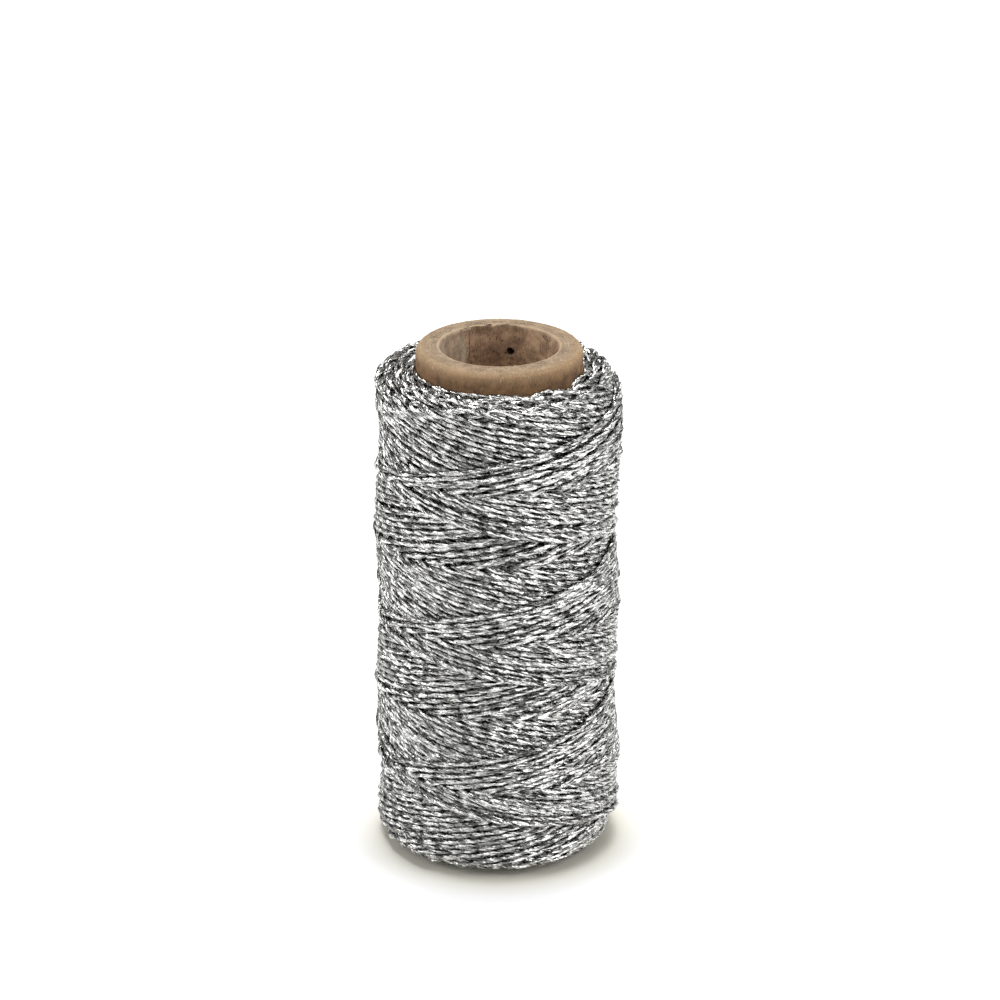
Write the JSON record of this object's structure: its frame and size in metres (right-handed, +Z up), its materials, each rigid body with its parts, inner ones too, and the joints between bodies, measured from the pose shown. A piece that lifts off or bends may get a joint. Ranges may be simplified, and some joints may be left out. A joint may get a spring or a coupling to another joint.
{
  "type": "twine spool",
  "caption": "Paper tube standing on end with a cross-wound package of metallic twine; the tube's bore goes on a spindle.",
  "frame": {"origin": "centre of the tube's lower rim, on the surface that the spool stands on", "axes": "+Z up along the tube's axis, -Y towards the front"},
  "size_m": [0.041, 0.041, 0.09],
  "materials": {
    "liner_paper": "matte",
    "tube_board": "matte",
    "wrap_paper": "matte",
    "metallic_twine": "polished"
  },
  "bodies": {
    "root": {"core_liner": "liner_paper", "core_ply_2": "tube_board", "core_ply_3": "tube_board", "core_ply_4": "tube_board", "core_ply_5": "tube_board", "core_ply_6": "tube_board", "core_ply_7": "tube_board", "core_outer_wrap": "wrap_paper", "twine_start_tail": "metallic_twine", "twine_base_layer": "metallic_twine", "twine_second_layer": "metallic_twine", "twine_third_layer": "metallic_twine", "twine_outer_layer": "metallic_twine"}
  },
  "joints": []
}
